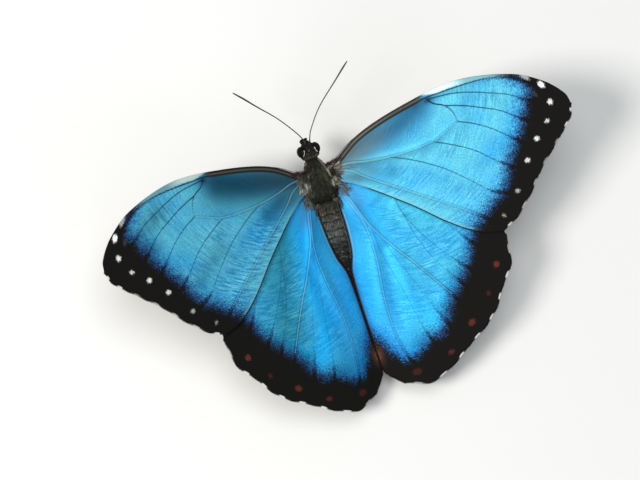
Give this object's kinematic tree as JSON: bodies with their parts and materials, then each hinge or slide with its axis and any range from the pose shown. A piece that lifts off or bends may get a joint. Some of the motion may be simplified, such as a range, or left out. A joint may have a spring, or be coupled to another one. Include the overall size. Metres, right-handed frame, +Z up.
{
  "type": "blue morpho butterfly",
  "caption": "Life-size butterfly standing with its wide wings held nearly flat, iridescent blue above with black, spotted borders and brown and ringed below.",
  "frame": {"origin": "centre of the bottom of the box around the whole insect, on the floor its feet stand on", "axes": "+X to the insect's own right along its wingspan, +Y towards its head, +Z up"},
  "size_m": [0.1348, 0.0904, 0.0342],
  "materials": {
    "forewing": "satin",
    "hindwing": "satin",
    "coat": "matte",
    "eye": "gloss",
    "chitin": "satin"
  },
  "bodies": {
    "root": {"thorax": "coat", "abdomen": "coat", "head": "coat", "eye_left": "eye", "eye_right": "eye", "palp_left": "coat", "palp_right": "coat", "proboscis": "chitin", "antenna_left": "chitin", "antenna_right": "chitin", "forewing_left": "forewing", "forewing_right": "forewing", "hindwing_left": "hindwing", "hindwing_right": "hindwing", "foreleg_left": "chitin", "foreleg_right": "chitin", "midleg_left": "chitin", "midleg_right": "chitin", "hindleg_left": "chitin", "hindleg_right": "chitin"}
  },
  "joints": []
}
